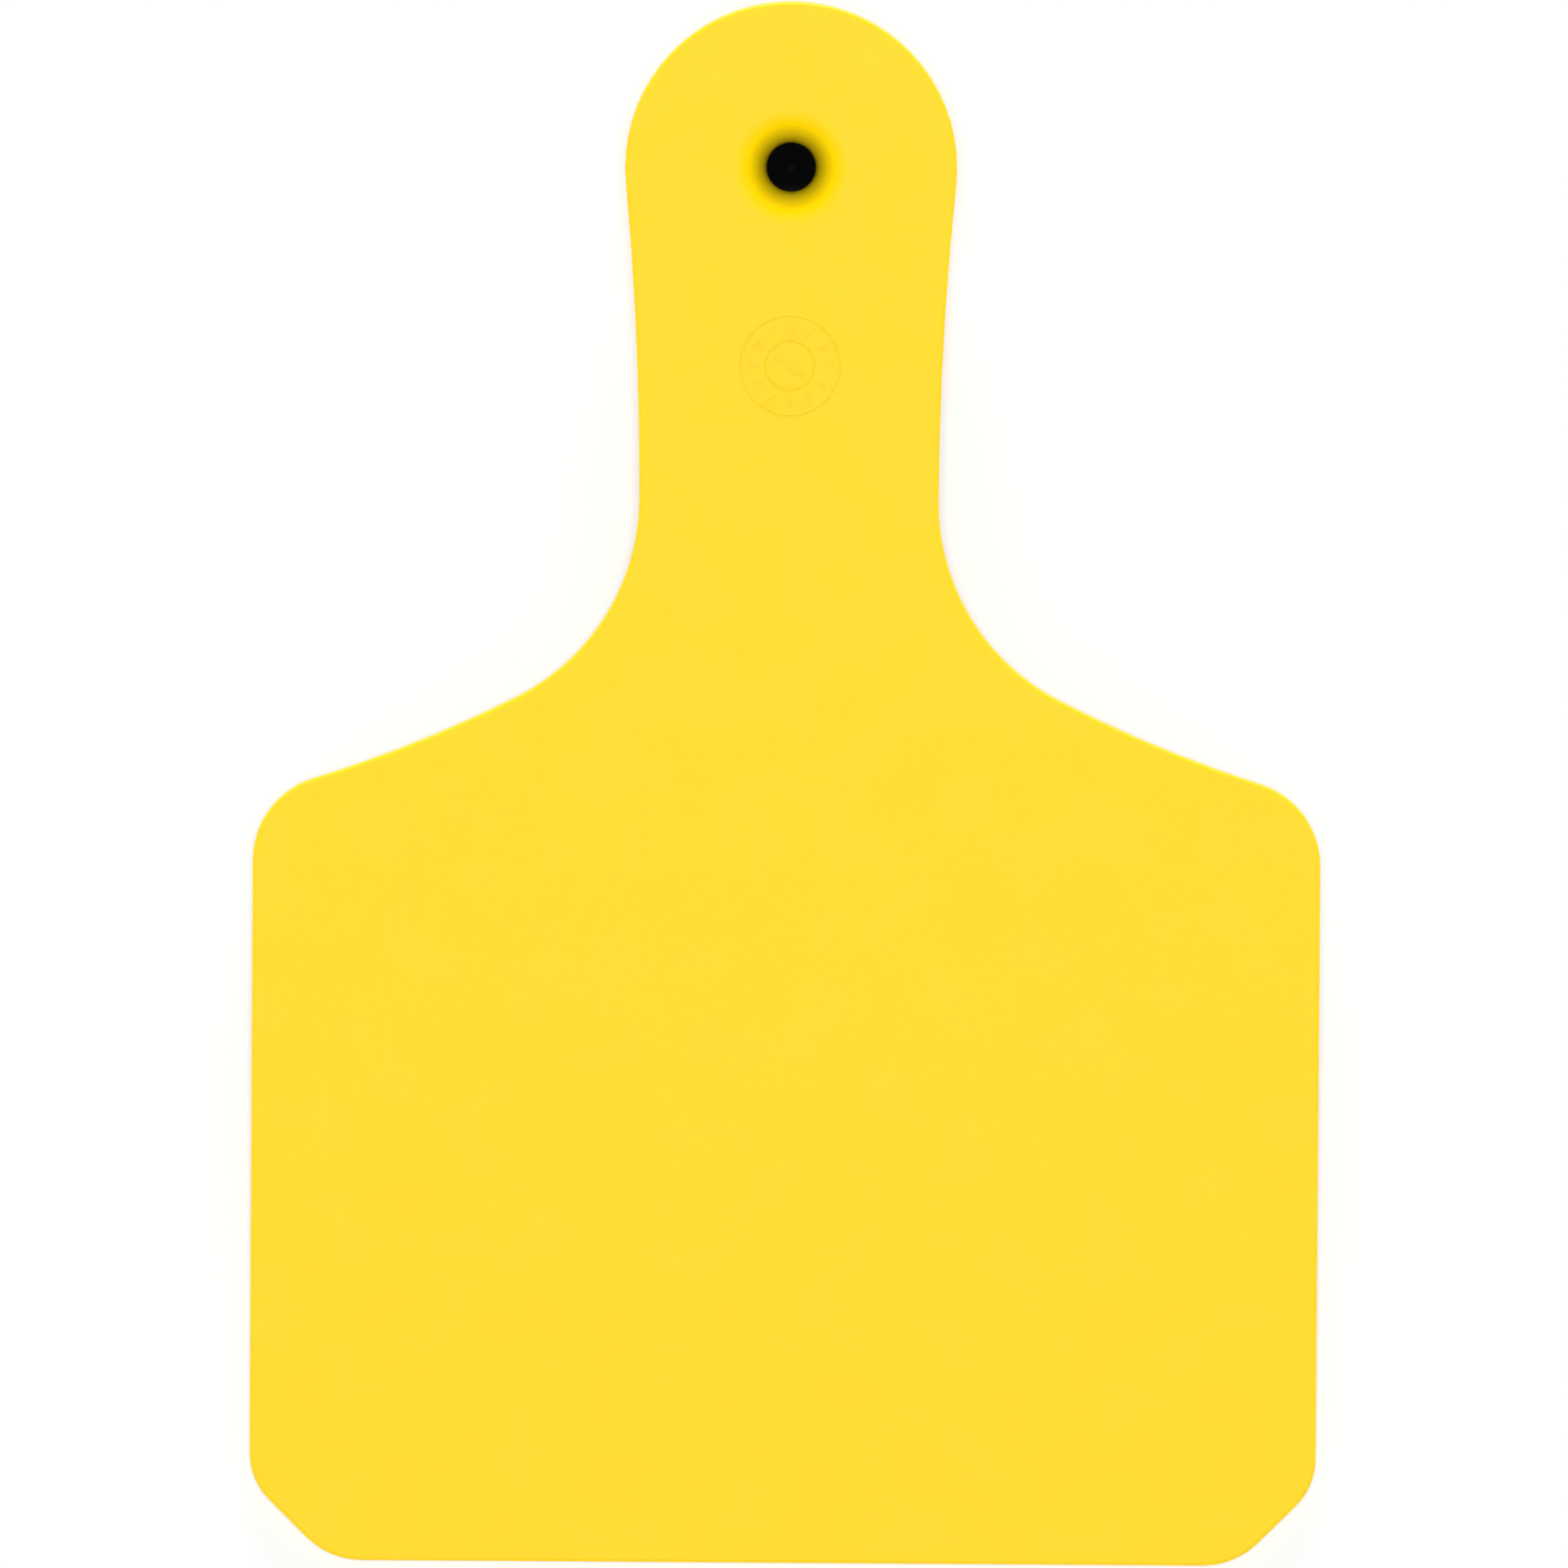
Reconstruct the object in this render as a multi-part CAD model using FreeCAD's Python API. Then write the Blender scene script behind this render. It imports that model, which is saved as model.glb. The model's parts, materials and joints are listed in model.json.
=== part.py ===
import FreeCAD, Part
import math
import os

# Livestock ear tag: the large panel of a two-piece cattle tag, lying with its marking face up.
# The panel, neck, head and collar are one moulding of soft polyurethane. A hard locking
# insert, closed towards the face, is moulded into the collar and catches the stud that comes
# through the ear from behind.
#
# Millimetres. The tag is drawn with its marking face in the plane Z = 0, its head towards +Y
# and the stud's axis along Z. "Below" is a distance from that axis towards the base, and
# "depth" is a distance behind the marking face. Last, the tag is laid down at rest with the
# middle of the locking bore's mouth at the origin.

# Outline
head_radius = 11.8
neck_draw_in = 1.15
waist_below = 23.7
flare_radius = 15.9
flare_turn = 63.0
shoulder_radius = 93.0
shoulder_corner_radius = 6.1
body_width = 76.0
base_below = 99.6
chamfer_leg = 5.7
side_blend_radius = 4.7
base_blend_radius = 5.6

# Sheet
panel_thickness = 1.5
head_thickness = 2.2
taper_start_below = 33.0
taper_length = 20.0
face_edge_radius = 0.25
back_edge_radius = 0.4

# Collar behind the head
collar_radius = 6.6
collar_root_radius = 1.2
collar_rim_radius = 0.6
collar_lip = 0.8
collar_mouth_radius = 3.4
collar_mouth_chamfer = 0.4

# Window in the face, where the mould's pin held the insert
window_radius = 1.75
window_mouth_width = 2.35
window_mouth_depth = 1.3
skin_over_insert = 1.5

# Locking insert
insert_radius = 4.5
insert_flange_radius = 5.2
insert_flange_thickness = 0.9
insert_cap_thickness = 0.9
pin_dimple_angle = 118.0
chamber_radius = 3.3
chamber_length = 2.4
lock_bore_radius = 2.6
lock_bore_length = 1.4
lock_lead_in = 0.5

# Worked out from the sizes above
neck_half_width = head_radius - neck_draw_in
body_half_width = body_width / 2
dimple_end_depth = skin_over_insert + window_radius / math.tan(math.radians(pin_dimple_angle / 2))
chamber_start_depth = dimple_end_depth + insert_cap_thickness
bore_inner_depth = chamber_start_depth + chamber_length
bore_mouth_depth = bore_inner_depth + lock_bore_length
insert_end_depth = bore_mouth_depth + lock_lead_in
collar_end_depth = insert_end_depth + collar_lip

origin = FreeCAD.Vector(0, 0, 0)
along_x = FreeCAD.Vector(1, 0, 0)
along_z = FreeCAD.Vector(0, 0, 1)
tolerance = 1e-6
quarter_bow = 0.5523  # how far a quarter oval's control points stand along its two half widths


def polar(centre, radius, angle):
    """The point at an angle, in radians, on a circle in the plane of the face."""
    return centre + FreeCAD.Vector(radius * math.cos(angle), radius * math.sin(angle), 0)


def towards(start, end, distance):
    """The point at a distance from start on the way to end."""
    return start + FreeCAD.Vector(end - start).normalize() * distance


def heading(centre, point):
    """The angle, in radians, at which a point is seen from a centre."""
    return math.atan2(point.y - centre.y, point.x - centre.x)


def arc(centre, radius, start, end):
    """A circular edge between two angles."""
    middle = (start + end) / 2
    return Part.Arc(*[polar(centre, radius, angle) for angle in (start, middle, end)]).toShape()


def line(start, end):
    return Part.LineSegment(start, end).toShape()


def neck_edges():
    """The right side from the head circle, in to the waist and out along the flare."""
    # one large arc leaves the head circle tangentially and is upright at the waist
    neck_radius = (neck_half_width**2 + waist_below**2 - head_radius**2) / (2 * neck_draw_in)
    neck_centre = FreeCAD.Vector(neck_half_width + neck_radius, -waist_below, 0)
    flare_centre = FreeCAD.Vector(neck_half_width + flare_radius, -waist_below, 0)
    flare_end = math.pi + math.radians(flare_turn)
    return [
        arc(neck_centre, neck_radius, heading(neck_centre, origin), math.pi),
        arc(flare_centre, flare_radius, math.pi, flare_end),
    ], towards(polar(flare_centre, flare_radius, flare_end), flare_centre, shoulder_radius)


def shoulder_edges(hollow_centre):
    """The hollow shoulder and the round corner that turns it down into the side."""
    corner_x = body_half_width - shoulder_corner_radius
    reach = shoulder_radius + shoulder_corner_radius
    corner_y = hollow_centre.y - math.sqrt(reach**2 - (corner_x - hollow_centre.x) ** 2)
    corner_centre = FreeCAD.Vector(corner_x, corner_y, 0)
    hollow_start = math.pi + math.radians(flare_turn)
    hollow_end = heading(hollow_centre, corner_centre) + 2 * math.pi
    return [
        arc(hollow_centre, shoulder_radius, hollow_start, hollow_end),
        arc(corner_centre, shoulder_corner_radius, hollow_end - math.pi, 0),
    ], polar(corner_centre, shoulder_corner_radius, 0)


def lower_edges(side_top):
    """The straight side, the cut corner with its two blends, and the end of the base."""
    eighth_turn = math.pi / 4
    side_blend_run = side_blend_radius * math.tan(eighth_turn / 2)
    base_blend_run = base_blend_radius * math.tan(eighth_turn / 2)
    side_blend_centre = FreeCAD.Vector(
        body_half_width - side_blend_radius, chamfer_leg + side_blend_run - base_below, 0
    )
    base_blend_centre = FreeCAD.Vector(
        body_half_width - chamfer_leg - base_blend_run, base_blend_radius - base_below, 0
    )
    side_end = polar(side_blend_centre, side_blend_radius, 0)
    chamfer_start = polar(side_blend_centre, side_blend_radius, -eighth_turn)
    chamfer_end = polar(base_blend_centre, base_blend_radius, -eighth_turn)
    return [
        line(side_top, side_end),
        arc(side_blend_centre, side_blend_radius, 0, -eighth_turn),
        line(chamfer_start, chamfer_end),
        arc(base_blend_centre, base_blend_radius, -eighth_turn, -2 * eighth_turn),
    ], polar(base_blend_centre, base_blend_radius, -2 * eighth_turn)


def outline():
    """The whole outline: its right side, the mirrored left side, the head's arc and the base."""
    neck, hollow_centre = neck_edges()
    shoulder, side_top = shoulder_edges(hollow_centre)
    lower, base_end = lower_edges(side_top)
    right = neck + shoulder + lower
    left = [edge.mirror(origin, along_x) for edge in right]
    head_start = heading(origin, neck[0].Vertexes[0].Point)
    head = arc(origin, head_radius, head_start, math.pi - head_start)
    base = line(base_end, FreeCAD.Vector(-base_end.x, base_end.y, 0))
    return Part.Wire(Part.__sortEdges__(right + left + [head, base]))


def back_relief():
    """What the sheet lacks behind the body, where an S of two equal arcs thins it."""
    step = head_thickness - panel_thickness
    radius = (taper_length**2 + step**2) / (4 * step)
    turn = 2 * math.atan2(step, taper_length)
    thick_end = FreeCAD.Vector(-taper_start_below, -head_thickness, 0)
    thin_end = FreeCAD.Vector(-taper_start_below - taper_length, -panel_thickness, 0)
    base_end = FreeCAD.Vector(-base_below - head_radius, -panel_thickness, 0)
    base_corner = FreeCAD.Vector(base_end.x, -collar_end_depth, 0)
    outer_corner = FreeCAD.Vector(thick_end.x, base_corner.y, 0)
    down = -math.pi / 2
    up = math.pi / 2
    section = [
        arc(thick_end + FreeCAD.Vector(0, radius, 0), radius, down, down - turn),
        arc(thin_end - FreeCAD.Vector(0, radius, 0), radius, up - turn, up),
        line(thin_end, base_end),
        line(base_end, base_corner),
        line(base_corner, outer_corner),
        line(outer_corner, thick_end),
    ]
    face = Part.Face(Part.Wire(Part.__sortEdges__(section)))
    # the section is drawn with the tag's Y across and its Z upwards, then stood up
    face.Placement = FreeCAD.Placement(
        FreeCAD.Vector(-body_width, 0, 0), FreeCAD.Rotation(FreeCAD.Vector(1, 1, 1), 120)
    )
    return face.extrude(along_x * 2 * body_width)


def rim_edges(blank, on_face):
    """The edges where the outline's walls meet the marking face, or else the back."""
    walls = [face for face in blank.Faces if abs(face.normalAt(0, 0).z) < tolerance]
    level = [edge for wall in walls for edge in wall.Edges if edge.BoundBox.ZLength < edge.Length / 2]
    return [edge for edge in level if (edge.BoundBox.ZMax > -tolerance) == on_face]


def sheet():
    """Panel, neck and head in one piece with a flat face and rounded edges."""
    blank = Part.Face(outline()).extrude(along_z * -head_thickness).cut(back_relief())
    blank = blank.makeFillet(face_edge_radius, rim_edges(blank, True))
    return blank.makeFillet(back_edge_radius, rim_edges(blank, False))


def ring_edges(solid, radius, depth):
    """The circular edges of a radius about the stud's axis, at a depth."""
    return [
        edge
        for edge in solid.Edges
        if isinstance(edge.Curve, Part.Circle)
        and abs(edge.Curve.Radius - radius) < tolerance
        and abs(edge.Curve.Center.z + depth) < tolerance
        and math.hypot(edge.Curve.Center.x, edge.Curve.Center.y) < tolerance
    ]


def turned(profile):
    """A solid turned about the stud's axis from pairs of radius and depth."""
    points = [FreeCAD.Vector(radius, 0, -depth) for radius, depth in profile]
    return Part.Face(Part.makePolygon(points + points[:1])).revolve(origin, along_z, 360)


def insert_outside():
    """Radius and depth of the insert's outside, from its closed end to its open end."""
    flange_end = skin_over_insert + insert_flange_thickness
    return [
        (insert_flange_radius, skin_over_insert),
        (insert_flange_radius, flange_end),
        (insert_radius, flange_end),
        (insert_radius, insert_end_depth),
    ]


def window_mouth():
    """The bell mouth of the window: a quarter oval from the face down to the straight wall."""
    wall_top = FreeCAD.Vector(window_radius, 0, -window_mouth_depth)
    face_edge = FreeCAD.Vector(window_radius + window_mouth_width, 0, 0)
    axis_bottom = FreeCAD.Vector(0, 0, -window_mouth_depth)
    oval = Part.BezierCurve()
    oval.setPoles([
        wall_top,
        wall_top + along_z * quarter_bow * window_mouth_depth,
        face_edge - along_x * quarter_bow * window_mouth_width,
        face_edge,
    ])
    section = [oval.toShape(), line(face_edge, origin), line(origin, axis_bottom)]
    section.append(line(axis_bottom, wall_top))
    return Part.Face(Part.Wire(section)).revolve(origin, along_z, 360)


def socket_room():
    """The room in the moulding: the window, the insert's seat and the collar's mouth."""
    seat = turned([(0, skin_over_insert)] + insert_outside() + [(0, insert_end_depth)])
    window = Part.makeCylinder(window_radius, skin_over_insert, origin, -along_z)
    mouth = turned([
        (0, insert_end_depth),
        (collar_mouth_radius, insert_end_depth),
        (collar_mouth_radius, collar_end_depth - collar_mouth_chamfer),
        (collar_mouth_radius + collar_mouth_chamfer, collar_end_depth),
        (0, collar_end_depth),
    ])
    return seat.fuse([window_mouth(), window, mouth])


def tag_panel():
    """The soft moulding."""
    collar = Part.makeCylinder(collar_radius, collar_end_depth, origin, -along_z)
    body = sheet().fuse(collar).removeSplitter()
    body = body.makeFillet(collar_root_radius, ring_edges(body, collar_radius, head_thickness))
    body = body.makeFillet(collar_rim_radius, ring_edges(body, collar_radius, collar_end_depth))
    return body.cut(socket_room())


def locking_insert():
    """The hard cup: an end dimpled for the mould's pin, a chamber and a narrower bore."""
    dimple = [(0, dimple_end_depth), (window_radius, skin_over_insert)]
    return turned(dimple + insert_outside() + [
        (lock_bore_radius + lock_lead_in, insert_end_depth),
        (lock_bore_radius, bore_mouth_depth),
        (lock_bore_radius, bore_inner_depth),
        (chamber_radius, bore_inner_depth),
        (chamber_radius, chamber_start_depth),
        (0, chamber_start_depth),
    ])


def rest_tilt():
    """The slope, in degrees, at which the collar's rim and the base's back edge touch one floor."""
    rise = (collar_end_depth - collar_rim_radius) - (panel_thickness - back_edge_radius)
    run = (base_below - back_edge_radius) - (collar_radius - collar_rim_radius)
    lean = math.atan2(rise, run)
    return math.degrees(lean + math.asin((collar_rim_radius - back_edge_radius) / math.hypot(rise, run)))


def laid_down(solid):
    """The solid with the bore's mouth at the origin and the head raised by the collar."""
    to_mouth = FreeCAD.Placement(along_z * bore_mouth_depth, FreeCAD.Rotation())
    head_up = FreeCAD.Placement(origin, FreeCAD.Rotation(along_x, rest_tilt()))
    solid.Placement = head_up.multiply(to_mouth)
    return solid


os.makedirs("parts", exist_ok=True)
for name, make in {"tag_panel": tag_panel, "locking_insert": locking_insert}.items():
    laid_down(make()).exportStep(os.path.join("parts", name + ".step"))
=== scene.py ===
import json
import math

import bmesh
import bpy
from mathutils import Matrix, Vector


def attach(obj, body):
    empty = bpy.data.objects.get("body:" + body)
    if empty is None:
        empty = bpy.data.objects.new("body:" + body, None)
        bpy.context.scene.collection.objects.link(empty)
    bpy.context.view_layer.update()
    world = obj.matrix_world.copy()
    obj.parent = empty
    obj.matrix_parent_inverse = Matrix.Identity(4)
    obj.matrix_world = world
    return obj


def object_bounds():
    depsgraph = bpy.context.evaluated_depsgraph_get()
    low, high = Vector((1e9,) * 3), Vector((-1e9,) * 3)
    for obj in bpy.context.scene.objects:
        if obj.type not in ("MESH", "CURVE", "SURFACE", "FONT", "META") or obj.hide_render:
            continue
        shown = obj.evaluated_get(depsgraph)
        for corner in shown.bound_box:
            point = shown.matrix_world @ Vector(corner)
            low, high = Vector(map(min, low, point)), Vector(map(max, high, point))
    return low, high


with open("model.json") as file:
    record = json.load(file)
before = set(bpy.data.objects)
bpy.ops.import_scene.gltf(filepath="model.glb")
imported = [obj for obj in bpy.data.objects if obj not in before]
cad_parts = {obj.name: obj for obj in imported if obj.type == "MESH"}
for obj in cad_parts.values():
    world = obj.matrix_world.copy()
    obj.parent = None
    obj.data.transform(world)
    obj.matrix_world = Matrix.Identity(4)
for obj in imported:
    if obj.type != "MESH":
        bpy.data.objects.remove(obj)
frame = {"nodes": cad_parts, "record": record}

CAD_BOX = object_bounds()
MM = 0.001

# Places on the tag, from the frame's mounts. The face matrix has its origin at the middle of the
# window in the marking face, X across the tag, Y towards the head and Z out of the face.
MOUNTS = {mount["name"]: mount for mount in frame["record"]["mounts"]}
STUD_MIDDLE = Vector(MOUNTS["stud_bore"]["pos_m"])
FACE_OUT = Vector(MOUNTS["marking_face"]["axis"])
FACE_RISE = (Vector(MOUNTS["marking_face"]["pos_m"]) - STUD_MIDDLE).dot(FACE_OUT)
WINDOW = STUD_MIDDLE + FACE_OUT * FACE_RISE
ACROSS = Vector((1, 0, 0))
FACE_UP = FACE_OUT.cross(ACROSS)
TILT = math.atan2(FACE_UP.z, FACE_UP.y)
FACE = Matrix.Translation(WINDOW) @ Matrix.Rotation(TILT, 4, "X")

# Sizes in millimetres in the face's frame. A mark's foot is just inside the surface it stands on.
WINDOW_RADIUS = 1.75
FUNNEL_RADIUS = 4.1
PANEL_THICKNESS = 1.5
MIDDLE_BELOW_WINDOW = 44.0
MARK_FOOT = -0.02
MARK_RISE = 0.045

FLOOR_LEVEL = CAD_BOX[0].z
TAG_MIDDLE = FACE @ Vector((0, -MIDDLE_BELOW_WINDOW * MM, 0))


def colour(code):
    """An sRGB hex colour as the linear value that a shader takes."""
    channels = [int(code[i : i + 2], 16) / 255 for i in (1, 3, 5)]
    return [c / 12.92 if c <= 0.04045 else ((c + 0.055) / 1.055) ** 2.4 for c in channels] + [1]


def new_material(name):
    """An empty material and its node tree."""
    made = bpy.data.materials.new(name)
    made.use_nodes = True
    made.node_tree.nodes.clear()
    return made, made.node_tree


def add(tree, kind, inputs=None, **settings):
    """Adds a node with its settings.

    An input goes by its name, or by its number where a node has several of one name. It is a
    plain value or another node's output.
    """
    node = tree.nodes.new(kind)
    for name, value in settings.items():
        setattr(node, name, value)
    for name, value in (inputs or {}).items():
        if isinstance(value, bpy.types.NodeSocket):
            tree.links.new(value, node.inputs[name])
        else:
            node.inputs[name].default_value = value
    return node


def face_coordinates(tree):
    """Coordinates in millimetres in the face's own frame, so noise scales are 1 / millimetres."""
    object_place = add(tree, "ShaderNodeTexCoord").outputs["Object"]
    inverse = FACE.inverted()
    return add(
        tree,
        "ShaderNodeMapping",
        {
            "Vector": object_place,
            "Location": inverse.to_translation() / MM,
            "Rotation": inverse.to_euler(),
            "Scale": (1 / MM,) * 3,
        },
    ).outputs["Vector"]


def reach_from_window(tree, place):
    """Distance in millimetres from the window's axis."""
    flat = add(
        tree, "ShaderNodeVectorMath", {0: place, 1: (1, 1, 0)}, operation="MULTIPLY"
    ).outputs["Vector"]
    return add(tree, "ShaderNodeVectorMath", {0: flat}, operation="LENGTH").outputs["Value"]


def away_from_face(tree):
    """0 on the flat face and back, and 1 on what turns away from them: edges and side walls."""
    normal = add(tree, "ShaderNodeTexCoord").outputs["Normal"]
    facing = add(
        tree, "ShaderNodeVectorMath", {0: normal, 1: FACE_OUT}, operation="DOT_PRODUCT"
    ).outputs["Value"]
    flatness = add(tree, "ShaderNodeMath", {0: facing}, operation="ABSOLUTE").outputs["Value"]
    return add(
        tree,
        "ShaderNodeMapRange",
        {"Value": flatness, "From Min": 0.94, "From Max": 0.995, "To Min": 1.0, "To Max": 0.0},
    ).outputs["Result"]


def polyurethane_colour(tree, place, reach):
    """Yellow with the faint clouds of a pigment that has flowed, and painted shade in the window's
    mouth.
    """
    cloud_width = 14.0
    painted_shade_until = 3.1
    clouds = add(tree, "ShaderNodeTexNoise", {"Vector": place, "Scale": 1 / cloud_width})
    yellow = add(
        tree,
        "ShaderNodeMix",
        {0: clouds.outputs["Fac"], 6: colour("#FFD503"), 7: colour("#FFD706")},
        data_type="RGBA",
    ).outputs[2]
    # painted shade: the yellow darkens to olive towards the window, standing in for the shade in its
    # mouth
    mouth_painted_shade = add(
        tree,
        "ShaderNodeMapRange",
        {
            "Value": reach,
            "From Min": WINDOW_RADIUS,
            "From Max": painted_shade_until,
            "To Min": 1.0,
            "To Max": 0.0,
        },
    ).outputs["Result"]
    return add(
        tree, "ShaderNodeMix", {0: mouth_painted_shade, 6: yellow, 7: colour("#817100")}, data_type="RGBA"
    ).outputs[2]


def soft_polyurethane():
    """Thermoplastic polyurethane, pigmented yellow and injection moulded.

    The melt is opaque but lets a little light bleed at thin edges. The mould's spark-eroded finish
    gives the face and the funnel around the window a satin surface with an even, broad sheen. The
    mould's side walls are polished so that the tag slips out, so the edges are brighter.
    """
    made, tree = new_material("soft_polyurethane")
    place = face_coordinates(tree)
    reach = reach_from_window(tree, place)
    funnel_full = 3.2
    funnel = add(
        tree,
        "ShaderNodeMapRange",
        {
            "Value": reach,
            "From Min": funnel_full,
            "From Max": FUNNEL_RADIUS,
            "To Min": 1.0,
            "To Max": 0.0,
        },
    ).outputs["Result"]
    polished = add(
        tree,
        "ShaderNodeMath",
        {0: away_from_face(tree), 1: funnel},
        operation="SUBTRACT",
        use_clamp=True,
    ).outputs["Value"]

    sheen_width = 5.0
    sheen = add(tree, "ShaderNodeTexNoise", {"Vector": place, "Scale": 1 / sheen_width})
    satin = add(
        tree,
        "ShaderNodeMapRange",
        {"Value": sheen.outputs["Fac"], "To Min": 0.54, "To Max": 0.62},
    ).outputs["Result"]
    roughness = add(
        tree, "ShaderNodeMix", {0: polished, 2: satin, 3: 0.34}, data_type="FLOAT"
    ).outputs[0]
    # painted reflection: the funnel's sheen is tinted yellow, standing in for light that has met its
    # yellow wall before
    funnel_painted_reflection = add(
        tree,
        "ShaderNodeMix",
        {0: funnel, 6: colour("#FFFFFF"), 7: colour("#FFD800")},
        data_type="RGBA",
    ).outputs[2]

    # the eroded pits are about 0.04 mm wide, and are drawn as coarse as they need to show
    grain_width = 0.16
    grain = add(
        tree, "ShaderNodeTexNoise", {"Vector": place, "Scale": 1 / grain_width, "Detail": 3.0}
    )
    bump = add(
        tree,
        "ShaderNodeBump",
        {"Height": grain.outputs["Fac"], "Strength": 0.25, "Distance": 0.01 * MM},
    ).outputs["Normal"]
    shader = add(
        tree,
        "ShaderNodeBsdfPrincipled",
        {
            "Base Color": polyurethane_colour(tree, place, reach),
            "Roughness": roughness,
            "IOR": 1.5,
            "Specular IOR Level": 0.32,
            "Specular Tint": funnel_painted_reflection,
            "Subsurface Weight": 0.12,
            "Subsurface Radius": (1.0, 0.6, 0.1),
            "Subsurface Scale": 0.8 * MM,
            "Normal": bump,
        },
    ).outputs["BSDF"]
    add(tree, "ShaderNodeOutputMaterial", {"Surface": shader})
    return made


def hard_acetal():
    """Black acetal, injection moulded: hard, dense and slightly waxy, with a dull sheen."""
    made, tree = new_material("hard_acetal")
    place = face_coordinates(tree)
    sheen_width = 0.8
    cloud_width = 1.6
    # the mould's tool marks are finer than this, and are drawn as coarse as they need to show
    grain_width = 0.12
    sheen = add(tree, "ShaderNodeTexNoise", {"Vector": place, "Scale": 1 / sheen_width})
    clouds = add(tree, "ShaderNodeTexNoise", {"Vector": place, "Scale": 1 / cloud_width})
    grain = add(
        tree, "ShaderNodeTexNoise", {"Vector": place, "Scale": 1 / grain_width, "Detail": 3.0}
    )
    roughness = add(
        tree,
        "ShaderNodeMapRange",
        {"Value": sheen.outputs["Fac"], "To Min": 0.48, "To Max": 0.58},
    ).outputs["Result"]
    black = add(
        tree,
        "ShaderNodeMix",
        {0: clouds.outputs["Fac"], 6: colour("#020202"), 7: colour("#050506")},
        data_type="RGBA",
    ).outputs[2]
    bump = add(
        tree,
        "ShaderNodeBump",
        {"Height": grain.outputs["Fac"], "Strength": 0.3, "Distance": 0.006 * MM},
    ).outputs["Normal"]
    shader = add(
        tree,
        "ShaderNodeBsdfPrincipled",
        {
            "Base Color": black,
            "Roughness": roughness,
            "IOR": 1.48,
            "Specular IOR Level": 0.08,
            "Normal": bump,
        },
    ).outputs["BSDF"]
    add(tree, "ShaderNodeOutputMaterial", {"Surface": shader})
    return made


def white_card():
    """Matt white card: plain white where it is seen, and a little darker in the light it returns.

    Where it is seen, half of it is plain white and half of it is lit and keeps the tag's shadow.
    """
    made, tree = new_material("white_card")
    ray = add(tree, "ShaderNodeLightPath")
    seen = add(
        tree,
        "ShaderNodeMath",
        {0: ray.outputs["Is Camera Ray"], 1: ray.outputs["Is Glossy Ray"]},
        operation="MAXIMUM",
    ).outputs["Value"]
    shade = add(
        tree,
        "ShaderNodeMix",
        {0: seen, 6: colour("#E4E4E4"), 7: colour("#FFFFFF")},
        data_type="RGBA",
    ).outputs[2]
    lit = add(tree, "ShaderNodeBsdfDiffuse", {"Color": shade}).outputs["BSDF"]
    plain = add(
        tree, "ShaderNodeEmission", {"Color": colour("#FFFFFF"), "Strength": 1.0}
    ).outputs["Emission"]
    plain_share = add(
        tree, "ShaderNodeMath", {0: seen, 1: 0.5}, operation="MULTIPLY"
    ).outputs["Value"]
    shader = add(
        tree, "ShaderNodeMixShader", {0: plain_share, 1: lit, 2: plain}
    ).outputs["Shader"]
    add(tree, "ShaderNodeOutputMaterial", {"Surface": shader})
    return made


def dress(node_name, material):
    """Gives a CAD node its material."""
    mesh = frame["nodes"][node_name].data
    mesh.materials.clear()
    mesh.materials.append(material)


def circle_bead(bm, centre, radius, width, rise, level=0.0, out=1):
    """Adds a low rounded bead in a circle that stands on a level.

    It rises out of the face where out is 1, and out of the back where out is -1.
    """
    steps = 72
    shoulder = 0.75 * rise
    section = [
        (-width / 2, MARK_FOOT),
        (-width / 4, shoulder),
        (0, rise),
        (width / 4, shoulder),
        (width / 2, MARK_FOOT),
    ]
    rings = []
    for step in range(steps):
        turn = 2 * math.pi * step / steps
        ring = []
        for outward, height in section:
            reach = radius + outward
            x = centre[0] + reach * math.cos(turn)
            y = centre[1] + reach * math.sin(turn)
            ring.append(bm.verts.new((x, y, level + out * height)))
        rings.append(ring)
    for here, there in zip(rings, rings[1:] + rings[:1]):
        for i in range(len(section)):
            j = (i + 1) % len(section)
            bm.faces.new((here[i], there[i], there[j], here[j]))


def turned_about(centre, turn):
    """The matrix that turns a flat shape by radians and then moves it to a centre on the face."""
    return Matrix.Translation((centre[0], centre[1], 0)) @ Matrix.Rotation(turn, 4, "Z")


def numeral(bm, text, size, centre, turn, reach):
    """Adds a raised numeral at a turn and a reach from a centre, its top outwards."""
    half_thickness = 0.035
    rounding = 0.012
    data = bpy.data.curves.new("numeral", "FONT")
    data.body = text
    data.size = size
    data.align_x = "CENTER"
    data.align_y = "CENTER"
    data.resolution_u = 3
    data.extrude = half_thickness
    data.bevel_depth = rounding
    holder = bpy.data.objects.new("numeral", data)
    mesh = bpy.data.meshes.new_from_object(holder)
    mesh.transform(turned_about(centre, turn) @ Matrix.Translation((0, reach, 0)))
    bm.from_mesh(mesh)
    bpy.data.meshes.remove(mesh)
    bpy.data.objects.remove(holder)
    bpy.data.curves.remove(data)


def arrow(bm, length, centre, turn):
    """Adds a flat raised arrow with sloping sides, its middle at a centre."""
    shaft = 0.14
    barb = 0.45
    head_length = 0.75
    tip = length / 2
    neck = tip - head_length
    outline = [
        (-shaft, -tip),
        (shaft, -tip),
        (shaft, neck),
        (barb, neck),
        (0, tip),
        (-barb, neck),
        (-shaft, neck),
    ]
    foot_wider = 1.08
    foot_longer = 1.04
    place = turned_about(centre, turn)
    foot = []
    top = []
    for x, y in outline:
        foot.append(bm.verts.new(place @ Vector((x * foot_wider, y * foot_longer, MARK_FOOT))))
        top.append(bm.verts.new(place @ Vector((x, y, MARK_RISE))))
    bm.faces.new(top)
    bm.faces.new(foot[::-1])
    for i in range(len(outline)):
        j = (i + 1) % len(outline)
        bm.faces.new((foot[i], foot[j], top[j], top[i]))


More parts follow.
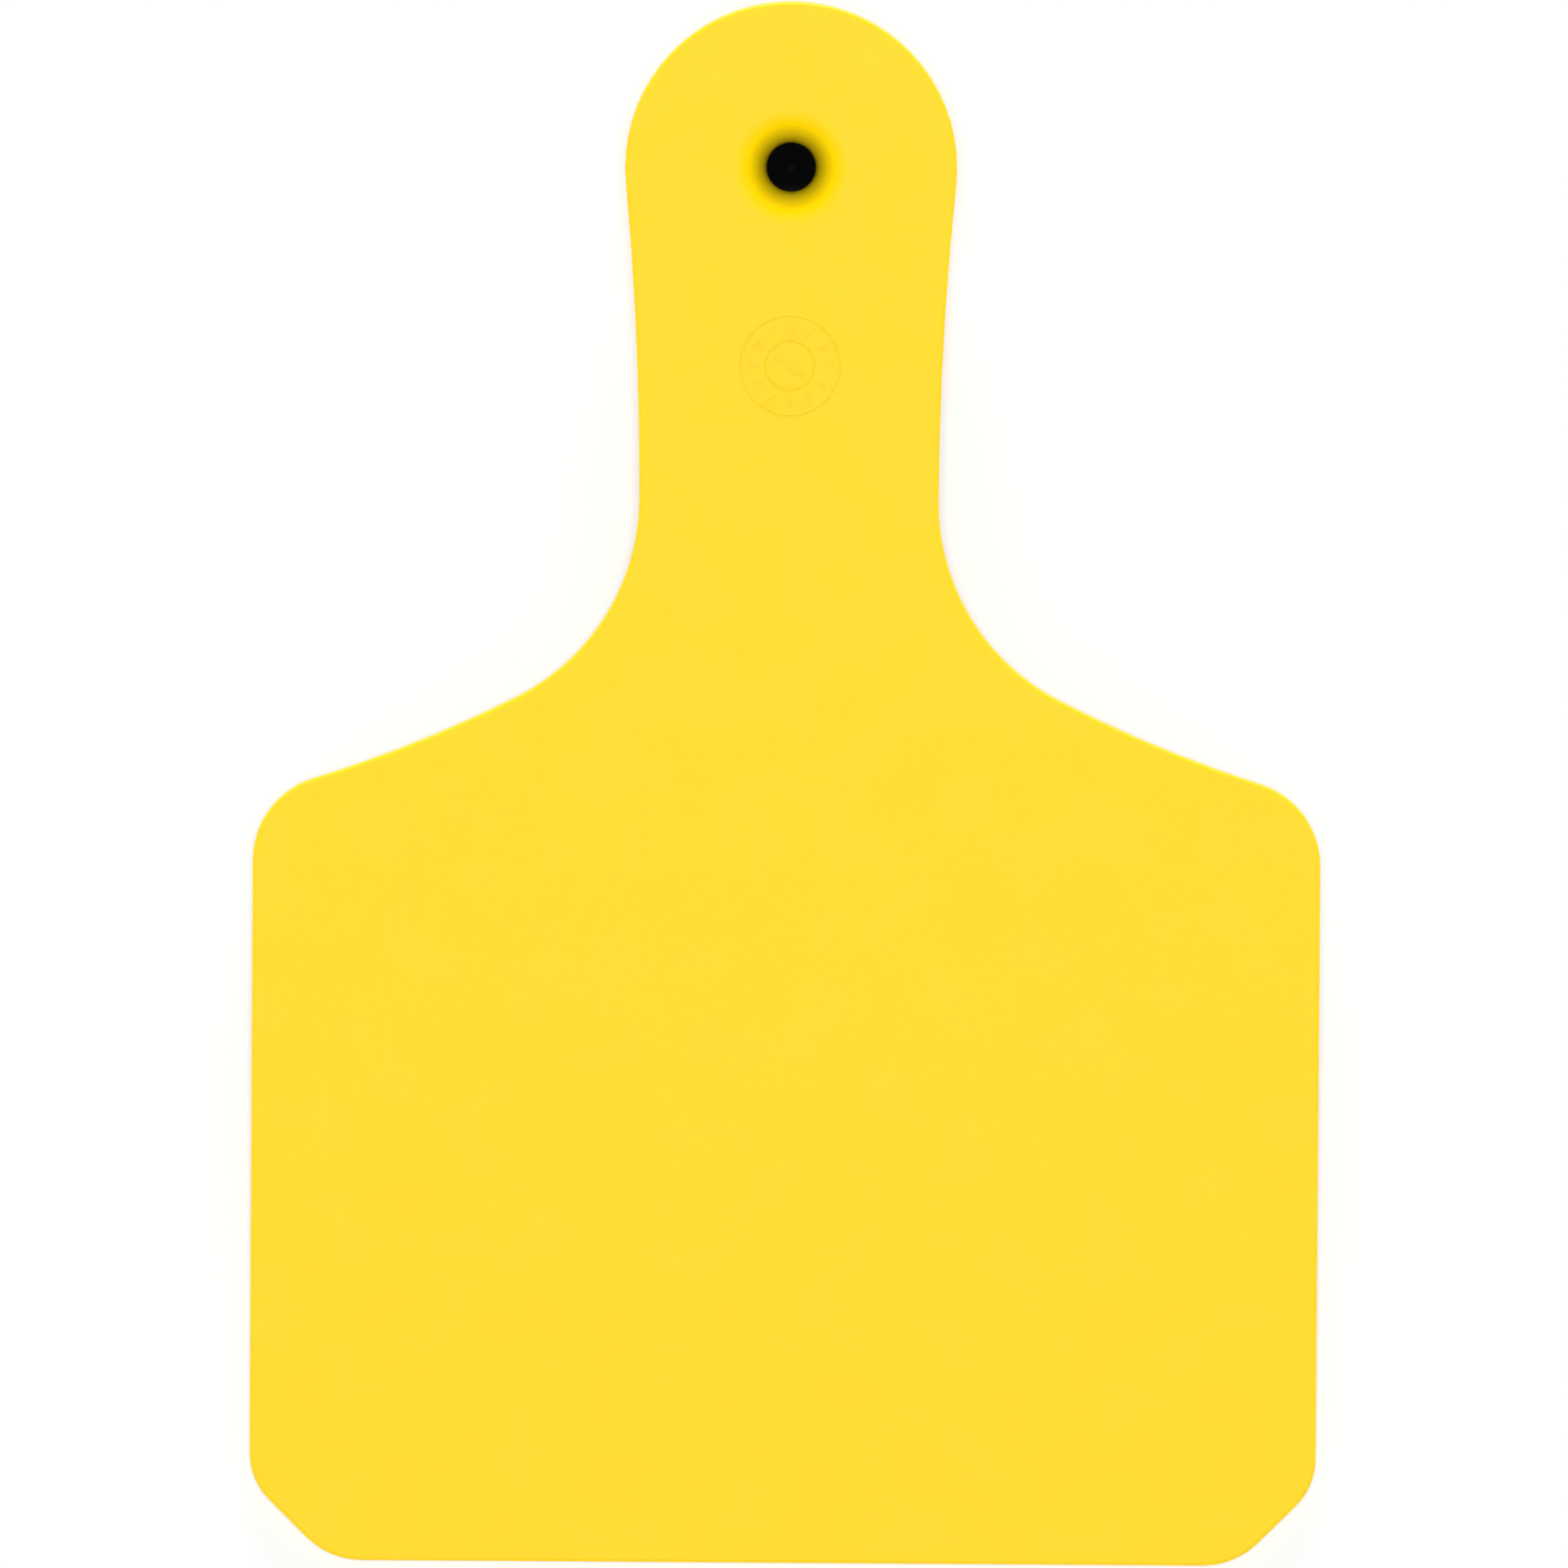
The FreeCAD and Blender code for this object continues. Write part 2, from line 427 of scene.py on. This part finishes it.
def moulded_mark(name, bm, material):
    """Makes one piece of the moulding from millimetres in the face's frame."""
    bmesh.ops.recalc_face_normals(bm, faces=bm.faces)
    mesh = bpy.data.meshes.new(name)
    bm.to_mesh(mesh)
    bm.free()
    mesh.transform(FACE @ Matrix.Scale(MM, 4))
    mesh.materials.append(material)
    made = bpy.data.objects.new(name, mesh)
    bpy.context.collection.objects.link(made)
    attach(made, "root")


def date_clock(material):
    """The mould's date clock on the neck: two rings, the months' plain numbers and an arrow."""
    centre = (0, -14.0)
    month_turn = -math.radians(30)
    arrow_month = 4
    bm = bmesh.new()
    circle_bead(bm, centre, radius=3.55, width=0.2, rise=MARK_RISE)
    circle_bead(bm, centre, radius=1.75, width=0.16, rise=MARK_RISE)
    for month in range(1, 13):
        numeral(bm, str(month), 1.0, centre, turn=month * month_turn, reach=2.65)
    arrow(bm, 2.5, centre, turn=arrow_month * month_turn)
    moulded_mark("date_clock", bm, material)


def ejector_marks(material):
    """The faint rings that the mould's ejector pins leave on the back of the panel."""
    sides = (-27.0, 27.0)
    rows = (-60.0, -91.0)
    bm = bmesh.new()
    for x in sides:
        for y in rows:
            circle_bead(
                bm, (x, y), radius=2.5, width=0.18, rise=0.05, level=-PANEL_THICKNESS, out=-1
            )
    moulded_mark("ejector_marks", bm, material)


def floor():
    """The white card that the tag lies on."""
    half = 3.0
    mesh = bpy.data.meshes.new("floor")
    corners = [(-half, -half), (half, -half), (half, half), (-half, half)]
    mesh.from_pydata([(x, y, FLOOR_LEVEL) for x, y in corners], [], [(0, 1, 2, 3)])
    mesh.materials.append(white_card())
    made = bpy.data.objects.new("floor", mesh)
    bpy.context.collection.objects.link(made)


def room(ceiling, walls):
    """A plain white room, darker overhead than at its walls, and plain white where it is seen."""
    wall_top = 0.2
    ceiling_edge = 0.35
    made = bpy.data.worlds.new("room")
    made.use_nodes = True
    tree = made.node_tree
    tree.nodes.clear()
    ray = add(tree, "ShaderNodeLightPath")
    seen = add(
        tree,
        "ShaderNodeMath",
        {0: ray.outputs["Is Camera Ray"], 1: ray.outputs["Is Transmission Ray"]},
        operation="MAXIMUM",
    ).outputs["Value"]
    direction = add(tree, "ShaderNodeTexCoord").outputs["Generated"]
    height = add(tree, "ShaderNodeSeparateXYZ", {0: direction}).outputs["Z"]
    light = add(
        tree,
        "ShaderNodeMapRange",
        {
            "Value": height,
            "From Min": wall_top,
            "From Max": ceiling_edge,
            "To Min": walls,
            "To Max": ceiling,
        },
    ).outputs["Result"]
    level = add(
        tree, "ShaderNodeMix", {0: seen, 2: light, 3: 1.0}, data_type="FLOAT"
    ).outputs[0]
    background = add(
        tree, "ShaderNodeBackground", {"Color": colour("#FFFFFF"), "Strength": level}
    ).outputs["Background"]
    add(tree, "ShaderNodeOutputWorld", {"Surface": background})
    bpy.context.scene.world = made


def soft_box(name, place, width, length, share):
    """A lamp that faces the tag from a place, in metres, about the tag's middle.

    Its share is the light that it gives a white surface square to it, where 1 is plain white.
    """
    towards_tag = -Vector(place)
    data = bpy.data.lights.new(name, "AREA")
    data.shape = "RECTANGLE"
    data.size = width
    data.size_y = length
    data.energy = share * math.pi**2 * towards_tag.length_squared
    made = bpy.data.objects.new(name, data)
    made.location = TAG_MIDDLE + Vector(place)
    made.rotation_euler = towards_tag.to_track_quat("-Z", "Y").to_euler()
    bpy.context.collection.objects.link(made)
    made.visible_camera = False


def camera():
    """A long lens straight above the tag, turned a little against it."""
    view_width = 111.57 * MM
    middle_left = 0.22 * MM
    middle_up = 0.12 * MM
    distance = 2.0
    roll = math.radians(0.382)
    data = bpy.data.cameras.new("camera")
    data.sensor_width = 36
    data.lens = data.sensor_width * distance / view_width
    made = bpy.data.objects.new("camera", data)
    place = TAG_MIDDLE + Vector((-middle_left, middle_up, distance))
    made.matrix_world = Matrix.Translation(place) @ Matrix.Rotation(roll, 4, "Z")
    bpy.context.collection.objects.link(made)
    bpy.context.scene.camera = made


polyurethane = soft_polyurethane()
dress("tag_panel", polyurethane)
dress("locking_insert", hard_acetal())
date_clock(polyurethane)
ejector_marks(polyurethane)
floor()
room(ceiling=0.15, walls=2.2)
soft_box("overhead", (0, 0.03, 1.6), width=0.30, length=0.30, share=0.665)
soft_box("far_strip", (0, 1.3, 0.45), width=0.6, length=0.25, share=0.38)
camera()
bpy.context.scene.view_settings.view_transform = "Standard"
